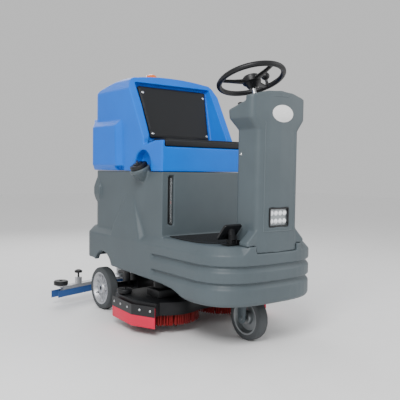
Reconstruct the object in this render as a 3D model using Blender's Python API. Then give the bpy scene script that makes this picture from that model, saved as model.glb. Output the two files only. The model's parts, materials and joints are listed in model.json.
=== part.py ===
"""Ride on floor scrubber, modelled as separate pieces in metres.

The front of the machine points along -Y, the driver's right is -X and +Z is up.
The origin is on the floor, at the middle of the machine's footprint.
"""

import math

import bmesh
import bpy
from mathutils import Matrix, Vector

# ---------------------------------------------------------------- driving dimensions
GAP = 0.0005                 # clearance between pieces that touch

BODY_HALF_WIDTH = 0.345      # lower skirt
BODY_FRONT_Y = -0.800
BODY_SHOULDER_Y = -0.527     # where the straight sides turn into the nose
BODY_REAR_Y = 0.560
BODY_CORNER_RADIUS = 0.060
BODY_WALL = 0.030            # skirt's outer skin to the hollow inside it
NOSE_EXPONENT = 2.9          # squareness of the nose in plan
SKIRT_BOTTOM_Z = 0.225
FLOOR_Z = 0.504              # top of the driver's floor
RIM_LOW_Z = 0.463            # chamfer round the top of the skirt
RIM_INSET = 0.030
GROOVE_DEPTH = 0.016
GROOVE_HEIGHT = 0.030
GROOVE_FLAT_TOP = 0.011      # from a groove's top edge down to the end of its sloping side
GROOVE_EDGE = 0.003
GROOVE_RUN_OUT = 0.008
GROOVE_TOPS = (0.335, 0.415)
GROOVE_START_Y = -0.213

BOX_HALF_WIDTH = 0.315       # seat box above the skirt
BOX_FRONT_Y = -0.262
BOX_REAR_Y = 0.525
BOX_CORNER_RADIUS = 0.080
WELL_FLOOR_Z = 0.410         # floor of the battery well
SEAM_Z = 0.8445              # joint between the grey body and the blue tank
SEAM_GAP = 0.003

SEAT_RAIL_Z = 1.008
SEAT_LIP_Z = 0.975
SEAT_FLOOR_Z = 0.955
WING_TOP_Y = 0.128
WING_FOOT_Y = -0.090
TANK_HALF_WIDTH = 0.318
TANK_CORE_HALF_WIDTH = 0.262  # right wall of the hollows, inside the filler's recess
TANK_CORE_REAR_Y = 0.495
TANK_HINGE = (0.322, 0.130, SEAM_Z)
FILLER_RECESS_X = -0.2705

COLUMN_HALF_WIDTH = 0.134
COLUMN_FRONT_Y = -0.798
COLUMN_REAR_Y = -0.632
HEAD_HALF_WIDTH = 0.177
HEAD_REAR_Y = -0.594
COLUMN_WALL = 0.010
COLUMN_CEILING_Z = 1.118
DASH_FRONT = (-0.741, 1.182)  # y and z of the sloping dashboard's edges
DASH_REAR = (-0.560, 1.130)
LAMP_HALF_WIDTH = 0.060
LAMP_LOW_Z = 0.596
LAMP_HIGH_Z = 0.680

# x and y of each control on the dashboard
STOP_AT = (0.134, -0.648)
ROCKER_AT = (-0.078, -0.640)
METER_AT = (0.0, -0.655)
SPEED_AT = (-0.130, -0.655)
KEY_AT = (-0.080, -0.694)
PLATE_THICKNESS = 0.004

WHEEL_CENTRE = Vector((0.0, -0.580, 1.313))
WHEEL_TILT = math.radians(19.7)
WHEEL_RADIUS = 0.164
WHEEL_TUBE = 0.0135
SPINNER_ANGLE = math.radians(17)
SPOKE_ANGLES = (20, 160, 270)
SHAFT_HOLE_RADIUS = 0.024

REAR_WHEEL_RADIUS = 0.127
REAR_WHEEL_WIDTH = 0.060
REAR_WHEEL_X = 0.304
REAR_AXLE_Y = 0.385
REAR_RIM_RADIUS = 0.097
FRONT_WHEEL_RADIUS = 0.1135
FRONT_WHEEL_WIDTH = 0.060
FRONT_WHEEL_Y = -0.597
FRONT_RIM_RADIUS = 0.086
FORK_BLADE_X = (0.0465, 0.0525)
RIM_GAP = 0.0003             # between a rim and its tyre
LOWER_SHAFT_Y = -0.712
SPROCKET_Z = (0.431, 0.441)
FRAME_RAIL_X = 0.115
FRAME_Z = 0.330

BRUSH_X = 0.215
BRUSH_Y = -0.130
BRUSH_RADIUS = 0.200
BRUSH_BOTTOM_Z = 0.048
DECK_TOP_Z = 0.172
DECK_BOTTOM_Z = 0.104
DECK_ROUND_RADIUS = 0.208
DECK_PLATE = 0.005

SQUEEGEE_APEX_Y = 0.748
SQUEEGEE_SLOPE = 0.30
SQUEEGEE_END_X = 0.545
BLADE_BOTTOM_Z = 0.050
BLADE_TOP_Z = 0.094
BLADE_OFFSETS = (0.0245, 0.0290)  # faces of a blade, from the bar's middle line
BAR_TOP_Z = 0.116
BAR_END_X = 0.480
SUCTION_PORT_Y = 0.738
ADJUSTER_X = 0.350
SQUEEGEE_ROLLER_X = 0.487

WHEEL_SEGMENTS = 24          # the same on rims and tyres, so that their facets stay parallel

# ---------------------------------------------------------------- finishes
# colour, roughness, metallic
FINISHES = {
    "grey_plastic": ((0.130, 0.165, 0.175), 0.45, 0.0),
    "blue_plastic": ((0.000, 0.290, 0.830), 0.38, 0.0),
    "black_plastic": ((0.012, 0.013, 0.015), 0.50, 0.0),
    "black_vinyl": ((0.016, 0.018, 0.022), 0.60, 0.0),
    "mat_rubber": ((0.020, 0.023, 0.028), 0.80, 0.0),
    "grey_tyre": ((0.150, 0.160, 0.165), 0.75, 0.0),
    "pink_urethane": ((0.830, 0.045, 0.130), 0.40, 0.0),
    "blue_rubber": ((0.045, 0.150, 0.400), 0.55, 0.0),
    "red_bristle": ((0.350, 0.010, 0.010), 0.70, 0.0),
    "black_steel": ((0.015, 0.016, 0.018), 0.42, 0.4),
    "grey_steel": ((0.230, 0.250, 0.260), 0.42, 0.6),
    "bright_steel": ((0.600, 0.610, 0.620), 0.28, 1.0),
    "cast_aluminium": ((0.560, 0.570, 0.580), 0.38, 1.0),
    "clear_plastic": ((0.750, 0.780, 0.780), 0.15, 0.0),
    "lamp_lens": ((0.850, 0.870, 0.900), 0.12, 0.0),
    "orange_lens": ((0.900, 0.180, 0.010), 0.20, 0.0),
    "red_plastic": ((0.600, 0.020, 0.015), 0.40, 0.0),
    "dark_screen": ((0.020, 0.040, 0.050), 0.15, 0.0),
    "battery_case": ((0.030, 0.032, 0.036), 0.55, 0.0),
    "wet_filter": ((0.300, 0.360, 0.400), 0.20, 0.0),
}

for leftover in list(bpy.data.objects):
    bpy.data.objects.remove(leftover, do_unlink=True)

MIRROR_X = (-1, 1, 1)
MERGE_DISTANCE = 1e-6


# ---------------------------------------------------------------- modelling helpers
def finish_material(name, finish):
    """A Principled material for one object."""
    colour, roughness, metallic = FINISHES[finish]
    material = bpy.data.materials.new(name + "_material")
    material.use_nodes = True
    shader = material.node_tree.nodes["Principled BSDF"]
    shader.inputs["Base Color"].default_value = (*colour, 1.0)
    shader.inputs["Roughness"].default_value = roughness
    shader.inputs["Metallic"].default_value = metallic
    return material


def link_mesh(name, bm, origin=(0.0, 0.0, 0.0)):
    """Turn a bmesh in world coordinates into an object whose origin is at origin."""
    bmesh.ops.remove_doubles(bm, verts=bm.verts, dist=MERGE_DISTANCE)
    bmesh.ops.recalc_face_normals(bm, faces=bm.faces)
    bmesh.ops.translate(bm, verts=bm.verts, vec=-Vector(origin))
    mesh = bpy.data.meshes.new(name)
    bm.to_mesh(mesh)
    bm.free()
    obj = bpy.data.objects.new(name, mesh)
    obj.location = origin
    bpy.context.scene.collection.objects.link(obj)
    return obj


def piece(name, bm, finish, origin=(0.0, 0.0, 0.0)):
    """A visible sub-part."""
    obj = link_mesh(name, bm, origin)
    obj.data.materials.append(finish_material(name, finish))
    obj.data.shade_smooth()
    obj.data.set_sharp_from_angle(angle=math.radians(35))
    return obj


def combine(target, operation, *shapes):
    """Join shapes to the target, or cut them from it, with Boolean modifiers."""
    for index, shape in enumerate(shapes):
        tool = link_mesh(f"{target.name}.{operation.lower()}.{index}.{len(target.modifiers)}", shape)
        tool.hide_render = True
        tool.display_type = "WIRE"
        modifier = target.modifiers.new(operation.title(), "BOOLEAN")
        modifier.operation = operation
        modifier.solver = "EXACT"
        modifier.object = tool
    return target


def loft(rings):
    """Skin rings of equal length and cap both ends."""
    bm = bmesh.new()
    rows = [[bm.verts.new(point) for point in ring] for ring in rings]
    count = len(rows[0])
    for lower, upper in zip(rows, rows[1:]):
        for i in range(count):
            j = (i + 1) % count
            bm.faces.new((lower[i], lower[j], upper[j], upper[i]))
    bm.faces.new(list(reversed(rows[0])))
    bm.faces.new(rows[-1])
    return bm


def prism(outline, low, high, axis="Z"):
    """Extrude a 2-D outline: (x, y) along Z, (x, z) along Y or (y, z) along X."""
    place = {
        "Z": lambda a, b, c: (a, b, c),
        "Y": lambda a, b, c: (a, c, b),
        "X": lambda a, b, c: (c, a, b),
    }[axis]
    return loft([[place(a, b, level) for a, b in outline] for level in (low, high)])


def block(low, high):
    """A box between two corners."""
    outline = [(low[0], low[1]), (high[0], low[1]), (high[0], high[1]), (low[0], high[1])]
    return prism(outline, low[2], high[2])


def centred(centre, size):
    """A box given by its centre and its full size."""
    low = [c - s / 2 for c, s in zip(centre, size)]
    high = [c + s / 2 for c, s in zip(centre, size)]
    return block(low, high)


def turned(profile, centre, axis="Z", segments=24, tilt=None, phase=0.0):
    """Revolve a (radius, height) profile; it may start and end on the axis."""
    on_axis = profile[0][0] == 0.0 and profile[-1][0] == 0.0
    bm = bmesh.new()
    turn = tilt or {
        "Z": Matrix.Identity(3),
        "X": Matrix.Rotation(math.radians(90), 3, "Y"),
        "Y": Matrix.Rotation(math.radians(-90), 3, "X"),
    }[axis]
    rows = []
    for step in range(segments):
        angle = 2 * math.pi * (step + phase) / segments
        row = []
        for radius, height in profile:
            point = Vector((radius * math.cos(angle), radius * math.sin(angle), height))
            row.append(bm.verts.new(Vector(centre) + turn @ point))
        rows.append(row)
    spans = len(profile) - 1 if on_axis else len(profile)
    for step in range(segments):
        here = rows[step]
        ahead = rows[(step + 1) % segments]
        for i in range(spans):
            j = (i + 1) % len(profile)
            bm.faces.new((here[i], ahead[i], ahead[j], here[j]))
    bmesh.ops.remove_doubles(bm, verts=bm.verts, dist=MERGE_DISTANCE)
    bmesh.ops.dissolve_degenerate(bm, edges=bm.edges, dist=1e-7)
    return bm


def disc(radius, low, high, centre, axis="Z", segments=24, tilt=None):
    """A plain cylinder between two heights along its axis."""
    profile = [(0.0, low), (radius, low), (radius, high), (0.0, high)]
    return turned(profile, centre, axis, segments, tilt)


def ring(inner, outer, low, high, centre, axis="Z", segments=24, tilt=None):
    """A tube wall between two heights along its axis."""
    profile = [(inner, low), (outer, low), (outer, high), (inner, high)]
    return turned(profile, centre, axis, segments, tilt)


def joined(*shapes):
    """Several closed shapes in one bmesh, to be used as one cutter."""
    result = bmesh.new()
    for shape in shapes:
        mesh = bpy.data.meshes.new("scratch")
        shape.to_mesh(mesh)
        shape.free()
        result.from_mesh(mesh)
        bpy.data.meshes.remove(mesh)
    return result


def mirrored(shape):
    """The same shape on the other side of the machine, together with the original."""
    mesh = bpy.data.meshes.new("scratch")
    shape.to_mesh(mesh)
    twin = bmesh.new()
    twin.from_mesh(mesh)
    bpy.data.meshes.remove(mesh)
    bmesh.ops.scale(twin, verts=twin.verts, vec=MIRROR_X)
    bmesh.ops.reverse_faces(twin, faces=twin.faces)
    return joined(shape, twin)


def arc(cx, cy, radius, start, end, steps):
    """Points on a circular arc, angles in degrees."""
    points = []
    for i in range(steps + 1):
        angle = math.radians(start + (end - start) * i / steps)
        points.append((cx + radius * math.cos(angle), cy + radius * math.sin(angle)))
    return points


def offset(outline, distance):
    """Move a closed outline inward (it runs counter-clockwise) by mitred corners."""
    result = []
    count = len(outline)
    for i in range(count):
        before = Vector(outline[i - 1])
        here = Vector(outline[i])
        after = Vector(outline[(i + 1) % count])
        first = (here - before).normalized()
        second = (after - here).normalized()
        normal_one = Vector((-first.y, first.x))
        normal_two = Vector((-second.y, second.x))
        middle = (normal_one + normal_two).normalized()
        length = distance / max(0.3, middle.dot(normal_one))
        result.append(tuple(here + middle * length))
    return result


def rounded_rectangle(x0, x1, y0, y1, radius, steps=3):
    """Counter-clockwise outline with round corners."""
    points = arc(x1 - radius, y0 + radius, radius, -90, 0, steps)
    points += arc(x1 - radius, y1 - radius, radius, 0, 90, steps)
    points += arc(x0 + radius, y1 - radius, radius, 90, 180, steps)
    points += arc(x0 + radius, y0 + radius, radius, 180, 270, steps)
    return points


# ---------------------------------------------------------------- grey body
def skirt_outline():
    """Plan of the skirt, counter-clockwise, starting at the left shoulder."""
    outline = [(BODY_HALF_WIDTH, y) for y in (-0.40, GROOVE_START_Y, GROOVE_START_Y + GROOVE_RUN_OUT, 0.0)]
    outline += arc(BODY_HALF_WIDTH - BODY_CORNER_RADIUS, BODY_REAR_Y - BODY_CORNER_RADIUS, BODY_CORNER_RADIUS,
                   0, 90, 4)
    outline += [(-x, y) for x, y in reversed(outline)]
    steps = 26
    for i in range(1, steps):
        angle = math.pi * i / steps
        across = math.copysign(abs(math.cos(angle)) ** (2 / NOSE_EXPONENT), math.cos(angle))
        along = max(0.0, math.sin(angle)) ** (2 / NOSE_EXPONENT)
        x = -BODY_HALF_WIDTH * across
        outline.append((x, BODY_SHOULDER_Y + (BODY_FRONT_Y - BODY_SHOULDER_Y) * along))
    return outline


def skirt_levels():
    """Heights of the skirt's rings, with edge, groove and rim insets."""
    levels = [(SKIRT_BOTTOM_Z, 0.010, 0, 0), (SKIRT_BOTTOM_Z + 0.014, 0, 0, 0)]
    for top in GROOVE_TOPS:
        levels += [(top - GROOVE_HEIGHT, 0, 0, 0), (top - GROOVE_FLAT_TOP, 0, GROOVE_DEPTH, 0)]
        levels += [(top - GROOVE_EDGE, 0, GROOVE_DEPTH, 0), (top, 0, 0, 0)]
    levels += [(RIM_LOW_Z, 0, 0, 0), (RIM_LOW_Z + 0.034, 0, 0, RIM_INSET), (FLOOR_Z, 0, 0, RIM_INSET + 0.008)]
    return levels


def skirt_ring(outline, level):
    """One ring of the skirt; grooves stop behind the steps and the rim stops at the column."""
    z, edge, groove, rim = level
    inner = offset(outline, 0.001)
    points = []
    for (x, y), (ix, iy) in zip(outline, inner):
        inset = edge
        if y <= GROOVE_START_Y:
            inset += groove
        beside_column = y < BODY_SHOULDER_Y and abs(x) < COLUMN_HALF_WIDTH + 0.050
        inset += 0.003 * (rim > 0) if beside_column else rim
        direction = Vector((ix - x, iy - y)).normalized()
        points.append((x + direction.x * inset, y + direction.y * inset, z))
    return points


def box_outline(half_width, front, rear, radius):
    """Plan of the seat box, square in front and round at the rear corners."""
    points = [(-half_width, front), (half_width, front)]
    points += arc(half_width - radius, rear - radius, radius, 0, 90, 5)
    points += arc(-half_width + radius, rear - radius, radius, 90, 180, 5)
    return points


def pillar():
    """The swelling on each side where the skirt runs up into the seat box."""
    rings = []
    for z, front, rear, outer in ((0.455, -0.086, 0.246, 0.345), (0.545, -0.046, 0.205, 0.338),
                                  (0.630, -0.004, 0.150, 0.326), (0.720, 0.030, 0.105, 0.3145)):
        inner = 0.300
        slope = outer - inner
        rings.append([(-inner, front - slope, z), (-outer, front, z), (-outer, rear, z),
                      (-inner, rear + slope, z)])
    return loft(rings)


def rear_bulge():
    """Rounded moulded boss on each rear corner of the seat box."""
    rings = []
    for z, out in ((0.640, 0.0), (0.665, 0.018), (0.700, 0.030), (0.745, 0.030), (0.790, 0.014),
                   (0.815, 0.0)):
        x = 0.300 + out
        rings.append([(-0.280, 0.440 - out, z), (-x, 0.440 - out, z), (-x, 0.480, z),
                      (-0.280, 0.500 + out, z)])
    return loft(rings)


SPOUT_CENTRE = Vector((-0.338, -0.072, 0.862))
SPOUT_TILT = Matrix.Rotation(math.radians(-24), 3, "Y")


def spout():
    """The filler's funnel-shaped swelling on the right side."""
    rings = []
    for along, radius, shift in ((-0.112, 0.008, 0.026), (-0.085, 0.026, 0.018), (-0.045, 0.046, 0.006),
                                 (-0.016, 0.057, 0.0), (0.0, 0.058, 0.0)):
        points = []
        for x, y in arc(0.0, 0.0, radius, 0, 337.5, 15):
            point = SPOUT_CENTRE + SPOUT_TILT @ Vector((x + shift, y, along))
            points.append(point)
        rings.append(points)
    return loft(rings)


def lower_edge_cutter():
    """Everything below the sloping lower edge of the sides, with the wheel arches."""
    profile = [(-0.560, 0.100), (-0.530, 0.2245), (-0.500, 0.228), (-0.455, 0.246), (-0.400, 0.262),
               (-0.300, 0.272), (0.225, 0.288)]
    profile += arc(0.335, 0.252, 0.110, 160, 25, 9)
    profile += [(0.450, 0.306), (0.620, 0.312), (0.620, 0.100)]
    return prism(profile, -0.40, 0.40, "X")


def make_lower_body():
    """Grey moulded body: solution tank, battery well, driver's floor and bumper."""
    outline = skirt_outline()
    body = piece("lower_body", loft([skirt_ring(outline, level) for level in skirt_levels()]), "grey_plastic")
    box = prism(box_outline(BOX_HALF_WIDTH, BOX_FRONT_Y, BOX_REAR_Y, BOX_CORNER_RADIUS),
                0.470, SEAM_Z - SEAM_GAP / 2)
    combine(body, "UNION", box, mirrored(pillar()), mirrored(rear_bulge()), spout())
    wall = BODY_WALL
    well = prism(box_outline(BOX_HALF_WIDTH - wall, BOX_FRONT_Y + wall, BOX_REAR_Y - wall, 0.06),
                 WELL_FLOOR_Z, 0.900)
    front_hollow = prism([(x, min(y, -0.190)) for x, y in offset(outline, wall) if y < 0.01], 0.100, 0.480)
    rear_hollow = prism(box_outline(BODY_HALF_WIDTH - wall, -0.195, BODY_REAR_Y - wall, 0.04),
                        0.100, WELL_FLOOR_Z - 0.012)
    notch_half = COLUMN_HALF_WIDTH + 0.001
    column_notch = block((-notch_half, -0.840, 0.4705), (notch_half, COLUMN_REAR_Y - 0.0065, 0.7295))
    tube_slot = block((-0.276, -0.280, 0.566), (-0.240, BOX_FRONT_Y + 0.014, 0.824))
    combine(body, "DIFFERENCE", well, front_hollow, rear_hollow, lower_edge_cutter(), column_notch, tube_slot)
    return body


def make_floor_mat():
    """Ribbed rubber mat between the column and the seat box."""
    outline = [(-0.268, BOX_FRONT_Y - 0.006), (-0.290, -0.40)]
    outline += arc(-0.150, -0.500, 0.140, 180, 262, 5)
    outline = [(x, y) for x, y in outline if y > -0.628]
    outline += [(-0.16, -0.628)]
    full = outline + [(-x, y) for x, y in reversed(outline)]
    piece("floor_mat", prism(full, FLOOR_Z + GAP, FLOOR_Z + 0.006), "mat_rubber")


# ---------------------------------------------------------------- steering column
STEERING_TURN = Matrix.Rotation(-WHEEL_TILT, 3, "X")


def column_ring(z, half_width, front, rear, radius, crown=0.014):
    """Rounded plan of the column with a crowned front."""
    steps = 3
    points = []
    for x, y in rounded_rectangle(-half_width, half_width, front, rear, radius, steps):
        bulge = crown * (x / half_width) ** 2 if y < (front + rear) / 2 else 0.0
        points.append((x, y + bulge, z))
    middle = [(x, front + crown * (x / half_width) ** 2, z) for x in (-0.07, 0.0, 0.07)]
    return points[-1:] + middle + points[:-1]


def column_levels():
    """Height, half width, front, rear and corner radius from the bumper to the head."""
    return [
        (0.4715, COLUMN_HALF_WIDTH, COLUMN_FRONT_Y, COLUMN_REAR_Y - 0.01, 0.012),
        (0.590, COLUMN_HALF_WIDTH, COLUMN_FRONT_Y, COLUMN_REAR_Y, 0.020),
        (1.050, COLUMN_HALF_WIDTH, COLUMN_FRONT_Y, COLUMN_REAR_Y, 0.022),
        (1.104, HEAD_HALF_WIDTH, COLUMN_FRONT_Y, HEAD_REAR_Y - 0.018, 0.024),
        (1.250, HEAD_HALF_WIDTH, COLUMN_FRONT_Y, HEAD_REAR_Y + 0.004, 0.024),
    ]


def head_cutter():
    """Everything above the arched hood."""
    arch = [(0.20, 1.30), (0.20, 1.196), (0.172, 1.205)]
    arch += [(0.13, 1.2165), (0.08, 1.2285), (0.0, 1.2340)]
    full = arch + [(-x, z) for x, z in reversed(arch[:-1])]
    return prism(full, -0.85, -0.50, "Y")


def dash_cutter():
    """The sloping dashboard behind the hood."""
    profile = [DASH_FRONT, DASH_REAR, (DASH_REAR[0], 1.300), (DASH_FRONT[0], 1.300)]
    return prism(profile, -0.20, 0.20, "X")


def foot():
    """Small sloping feet beside the column on the bumper."""
    rings = []
    for z, half, rear in ((FLOOR_Z + GAP, 0.186, -0.722), (0.524, 0.186, -0.722), (0.578, 0.130, -0.730)):
        rings.append([(-half, -0.782, z), (half, -0.782, z), (half, rear, z), (-half, rear, z)])
    return loft(rings)


def make_column():
    """Column cover, open at the bottom and hollow up to the dashboard."""
    cover = piece("column_cover", loft([column_ring(*level) for level in column_levels()]), "grey_plastic")
    combine(cover, "UNION", foot())
    combine(cover, "DIFFERENCE", head_cutter(), dash_cutter())
    inner = []
    for z, half, front, rear, radius in column_levels():
        inner.append(column_ring(min(z, COLUMN_CEILING_Z), half - COLUMN_WALL, front + COLUMN_WALL + 0.002,
                                 rear - COLUMN_WALL, max(0.006, radius - 0.008)))
    inner[0] = [(x, y, 0.40) for x, y, _ in inner[0]]
    inner[4:] = [[(x, y, COLUMN_CEILING_Z + 0.008) for x, y, _ in inner[3]]]
    combine(cover, "DIFFERENCE", loft(inner))
    shaft_hole = disc(SHAFT_HOLE_RADIUS, -0.30, 0.05, WHEEL_CENTRE, tilt=STEERING_TURN, segments=16)
    lamp_half = LAMP_HALF_WIDTH + 0.002
    lamp_recess = block((-lamp_half, -0.830, LAMP_LOW_Z - 0.002), (lamp_half, -0.780, LAMP_HIGH_Z + 0.002))
    combine(cover, "DIFFERENCE", shaft_hole, lamp_recess)

    lens = rounded_rectangle(-LAMP_HALF_WIDTH, LAMP_HALF_WIDTH, LAMP_LOW_Z, LAMP_HIGH_Z, 0.008)
    piece("headlight", prism(lens, COLUMN_FRONT_Y - GAP, -0.7805, "Y"), "lamp_lens")


DASH_SLOPE = (DASH_FRONT[1] - DASH_REAR[1]) / (DASH_REAR[0] - DASH_FRONT[0])
DASH_TURN = Matrix.Rotation(-math.atan(DASH_SLOPE), 3, "X")


def dash_point(x, y, lift):
    """A point above the sloping dashboard."""
    z = DASH_FRONT[1] - (y - DASH_FRONT[0]) * DASH_SLOPE
    return Vector((x, y, z)) + DASH_TURN @ Vector((0, 0, lift))


def on_dash(shape, x, y, lift=GAP):
    """Lay a shape modelled round the origin onto the dashboard."""
    bmesh.ops.rotate(shape, verts=shape.verts, cent=(0, 0, 0), matrix=DASH_TURN)
    bmesh.ops.translate(shape, verts=shape.verts, vec=dash_point(x, y, lift))
    return shape


def make_controls():
    """Dashboard plate with its display, switches and knobs."""
    plate_shape = prism(rounded_rectangle(-0.158, 0.158, -0.052, 0.050, 0.012), 0.0, PLATE_THICKNESS)
    plate = piece("control_panel", on_dash(plate_shape, 0.0, -0.668), "black_plastic")
    shaft_hole = disc(SHAFT_HOLE_RADIUS + 0.006, -0.30, 0.05, WHEEL_CENTRE, tilt=STEERING_TURN, segments=16)
    below, above = -0.004, 0.012
    stop_hole = on_dash(disc(0.0115, below, above, (0, 0, 0), segments=16), *STOP_AT)
    rocker_hole = on_dash(block((-0.0095, -0.0155, below), (0.0095, 0.0155, above)), *ROCKER_AT)
    combine(plate, "DIFFERENCE", shaft_hole, stop_hole, rocker_hole)
    top = PLATE_THICKNESS + 2 * GAP
    display = prism(rounded_rectangle(0.045, 0.115, -0.022, 0.022, 0.005), 0.0, 0.010)
    piece("display_meter", on_dash(display, *METER_AT, top), "dark_screen")

    stop_profile = [(0.0, 0.0), (0.009, 0.0), (0.009, 0.010), (0.017, 0.013), (0.019, 0.019), (0.014, 0.024),
                    (0.0, 0.025)]
    stop = turned(stop_profile, (0, 0, 0), segments=20)
    piece("emergency_stop", on_dash(stop, *STOP_AT, top), "red_plastic", dash_point(*STOP_AT, top))

    knob_profile = [(0.0, 0.0), (0.014, 0.0), (0.013, 0.016), (0.010, 0.020), (0.0, 0.0205)]
    knob = on_dash(turned(knob_profile, (0, 0, 0), segments=18), *SPEED_AT, top)
    piece("speed_knob", knob, "black_plastic", dash_point(*SPEED_AT, top))

    barrel = on_dash(disc(0.010, 0.0, 0.005, (0, 0, 0), segments=16), *KEY_AT, top)
    key_switch = piece("key_switch", barrel, "bright_steel", dash_point(*KEY_AT, top))
    grip = prism(rounded_rectangle(-0.009, 0.009, 0.004, 0.026, 0.004, 2), -0.0013, 0.0013, "Y")
    combine(key_switch, "UNION", on_dash(grip, *KEY_AT, top))

    side_view = [(-0.013, 0.0), (0.013, 0.0), (0.014, 0.012), (0.0, 0.007), (-0.014, 0.009)]
    rocker = on_dash(prism(side_view, -0.008, 0.008, "X"), *ROCKER_AT, top)
    piece("direction_switch", rocker, "black_plastic", dash_point(*ROCKER_AT, top))


# ---------------------------------------------------------------- steering
def make_steering():
    """Steering wheel with spokes and spinner knob, and its shaft."""
    tilt = STEERING_TURN
    profile = arc(WHEEL_RADIUS, 0.0, WHEEL_TUBE, 0, 300, 5)
    wheel = piece("steering_wheel", turned(profile, WHEEL_CENTRE, segments=32, tilt=tilt), "black_plastic",
                  WHEEL_CENTRE)
    hub_profile = [(0.0, -0.052), (0.022, -0.052), (0.026, -0.044), (0.044, -0.020), (0.047, 0.004),
                   (0.038, 0.012), (0.0, 0.014)]
    combine(wheel, "UNION", turned(hub_profile, WHEEL_CENTRE, segments=24, tilt=tilt))
    for angle in SPOKE_ANGLES:
        turn = tilt @ Matrix.Rotation(math.radians(angle), 3, "Z")
        rings = []
        for reach, half, low, high in ((0.030, 0.026, -0.022, -0.002), (0.095, 0.017, -0.013, 0.001),
                                       (WHEEL_RADIUS, 0.014, -0.006, 0.005)):
            corners = [(reach, -half, low), (reach, half, low), (reach, half * 0.8, high),
                       (reach, -half * 0.8, high)]
            rings.append([WHEEL_CENTRE + turn @ Vector(corner) for corner in corners])
        combine(wheel, "UNION", loft(rings))

    knob_turn = tilt @ Matrix.Rotation(SPINNER_ANGLE, 3, "Z")
    knob_base = WHEEL_CENTRE + knob_turn @ Vector((WHEEL_RADIUS, 0, WHEEL_TUBE - 0.001))
    combine(wheel, "UNION", turned([(0.0, -0.008), (0.011, -0.008), (0.008, 0.012), (0.0, 0.012)], knob_base,
                                   segments=12, tilt=tilt))
    knob_seat = WHEEL_CENTRE + knob_turn @ Vector((WHEEL_RADIUS, 0, WHEEL_TUBE + 0.0115))
    ball = [(0.0, 0.0), (0.0075, 0.0), (0.008, 0.012), (0.019, 0.022), (0.023, 0.035), (0.019, 0.046),
            (0.010, 0.052), (0.0, 0.053)]
    piece("spinner_knob", turned(ball, knob_seat, segments=18, tilt=tilt), "black_plastic", knob_seat)

    shaft = disc(0.011, -0.370, -0.053, WHEEL_CENTRE, segments=14, tilt=tilt)
    rod = piece("steering_shaft", shaft, "bright_steel", WHEEL_CENTRE)
    combine(rod, "UNION", disc(0.018, -0.370, -0.345, WHEEL_CENTRE, segments=16, tilt=tilt))
    lower = piece("steering_lower_shaft", disc(0.010, 0.426, 0.945, (0, LOWER_SHAFT_Y, 0), segments=14),
                  "bright_steel", (0, LOWER_SHAFT_Y, 0.70))
    combine(lower, "UNION", disc(0.018, 0.920, 0.947, (0, LOWER_SHAFT_Y, 0), segments=16))
    combine(lower, "UNION", disc(0.016, *SPROCKET_Z, (0, LOWER_SHAFT_Y, 0), segments=16))


def make_front_wheel():
    """Steered fork with its wheel."""
    centre = (0.0, FRONT_WHEEL_Y, FRONT_WHEEL_RADIUS)
    head = piece("steering_head", ring(0.0245, 0.045, 0.300, 0.420, (0, FRONT_WHEEL_Y, 0), segments=24),
                 "black_steel")
    combine(head, "UNION", centred((0, -0.480, 0.3620), (0.11, 0.19, 0.012)))

    fork = piece("front_fork", disc(0.022, 0.262, 0.452, (0, FRONT_WHEEL_Y, 0), segments=18), "grey_steel",
                 (0, FRONT_WHEEL_Y, 0.24))
    crown = centred((0, FRONT_WHEEL_Y, 0.258), (0.104, 0.090, 0.020))
    combine(fork, "UNION", crown)
    for side in (-1, 1):
        outline = [(FRONT_WHEEL_Y - 0.034, 0.252), (FRONT_WHEEL_Y - 0.026, 0.118)]
        outline += arc(FRONT_WHEEL_Y, FRONT_WHEEL_RADIUS, 0.026, 190, 350, 6)
        outline += [(FRONT_WHEEL_Y + 0.026, 0.118), (FRONT_WHEEL_Y + 0.034, 0.252)]
        x0, x1 = sorted(side * x for x in FORK_BLADE_X)
        combine(fork, "UNION", prism(outline, x0, x1, "X"))
    combine(fork, "UNION", disc(0.008, -0.060, 0.060, centre, "X", 12))
    combine(fork, "UNION", disc(0.046, 0.432, 0.440, (0, FRONT_WHEEL_Y, 0), segments=24))

    half_profile = [(0.0085, 0.042), (0.022, 0.042), (0.024, 0.020), (0.070, 0.012), (0.080, 0.029),
                    (FRONT_RIM_RADIUS, 0.029)]
    rim_profile = [(radius, -height) for radius, height in half_profile] + half_profile[::-1]
    piece("front_rim", wheel_solid(rim_profile, centre), "grey_steel", centre)
    piece("front_tyre", tyre(FRONT_RIM_RADIUS + RIM_GAP, FRONT_WHEEL_RADIUS, FRONT_WHEEL_WIDTH, centre),
          "grey_tyre", centre)


def wheel_solid(profile, centre):
    """A wheel whose facets, not its edges, touch the circle that the profile states."""
    grown = 1 / math.cos(math.pi / WHEEL_SEGMENTS)
    return turned([(radius * grown, height) for radius, height in profile], centre, "X", WHEEL_SEGMENTS,
                  phase=0.5)


def tyre(inner, outer, width, centre):
    """Solid tyre with a rounded shoulder."""
    half = width / 2
    profile = [(inner, -half), (outer - 0.014, -half), (outer - 0.005, -half + 0.004), (outer, -half + 0.013),
               (outer, half - 0.013), (outer - 0.005, half - 0.004), (outer - 0.014, half), (inner, half)]
    return wheel_solid(profile, centre)


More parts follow.
